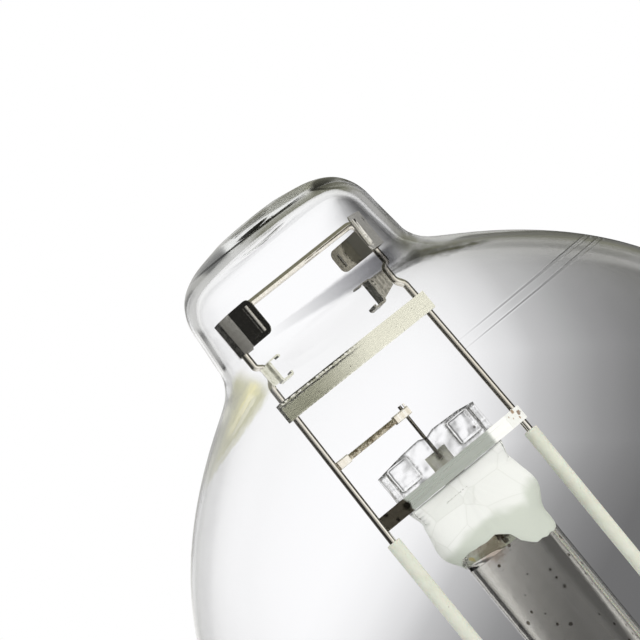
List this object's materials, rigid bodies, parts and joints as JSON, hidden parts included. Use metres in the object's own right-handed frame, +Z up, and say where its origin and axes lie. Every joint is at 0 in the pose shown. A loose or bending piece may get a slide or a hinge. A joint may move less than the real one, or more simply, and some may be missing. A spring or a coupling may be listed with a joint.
{
  "type": "metal halide lamp",
  "caption": "Clear bulged-tubular metal halide lamp: thick glass crown, wire frame with leaf springs, quartz arc tube with pressed ends and white coats, large screw base.",
  "frame": {"origin": "centre of the end face of the centre contact, at the bottom of the screw base", "axes": "+Z up the lamp's axis from the base to the crown; +X in the plane of the wire frame, towards its right wire; +Y to the back"},
  "size_m": [0.178, 0.178, 0.39],
  "materials": {
    "bulb_glass": "clear blown glass, thick at the crown and waist",
    "stem_glass": "clear pressed glass",
    "frame_steel": "drawn nickel-plated wire, satin, slightly oxidised",
    "spring_steel": "rolled strip, dark oxidised patches",
    "strap_nickel": "rolled strip, creased, warm tint",
    "getter_steel": "thin sheet with a fired getter film",
    "quartz": "fused quartz, pressed ends with waves",
    "end_coat": "matt white heat-reflecting coat",
    "tungsten": "grey drawn tungsten",
    "sealing_foil": "thin grey foil",
    "molybdenum": "dark drawn wire",
    "clamp_nickel": "rolled strip, heat-tinted at the welds",
    "braid_wire": "braided fine wire",
    "crimp_steel": "folded strip",
    "sleeve_ceramic": "matt off-white tube with fine specks",
    "lead_in_nickel": "drawn nickel wire",
    "shell_brass": "rolled brass sheet, nickel plated",
    "insulator_glass": "dark moulded glass",
    "contact_brass": "pressed brass disc",
    "solder": "soft solder, dull",
    "cement": "grainy cement"
  },
  "bodies": {
    "root": {"outer_bulb": "bulb_glass", "stem": "stem_glass", "exhaust_tube": "stem_glass", "frame_loop": "frame_steel", "crown_spring_left": "spring_steel", "crown_spring_right": "spring_steel", "cross_strap": "strap_nickel", "getter_left": "getter_steel", "getter_right": "getter_steel", "getter_strip_left": "getter_steel", "getter_strip_right": "getter_steel", "arc_tube": "quartz", "coat_dome": "end_coat", "coat_base": "end_coat", "electrode_dome": "tungsten", "electrode_base": "tungsten", "coil_dome": "tungsten", "coil_base": "tungsten", "foil_dome": "sealing_foil", "foil_base": "sealing_foil", "lead_dome": "molybdenum", "lead_base": "molybdenum", "clamp_dome_front": "clamp_nickel", "clamp_dome_back": "clamp_nickel", "clamp_base_front": "clamp_nickel", "clamp_base_back": "clamp_nickel", "braided_lead": "braid_wire", "braid_crimp_frame": "crimp_steel", "braid_crimp_lead": "crimp_steel", "sleeve_left": "sleeve_ceramic", "sleeve_right": "sleeve_ceramic", "lead_in_frame": "lead_in_nickel", "lead_in_arc": "lead_in_nickel", "stem_strap_front": "clamp_nickel", "stem_strap_back": "clamp_nickel", "screw_shell": "shell_brass", "base_insulator": "insulator_glass", "centre_contact": "contact_brass", "contact_solder": "solder", "base_cement": "cement"}
  },
  "joints": []
}
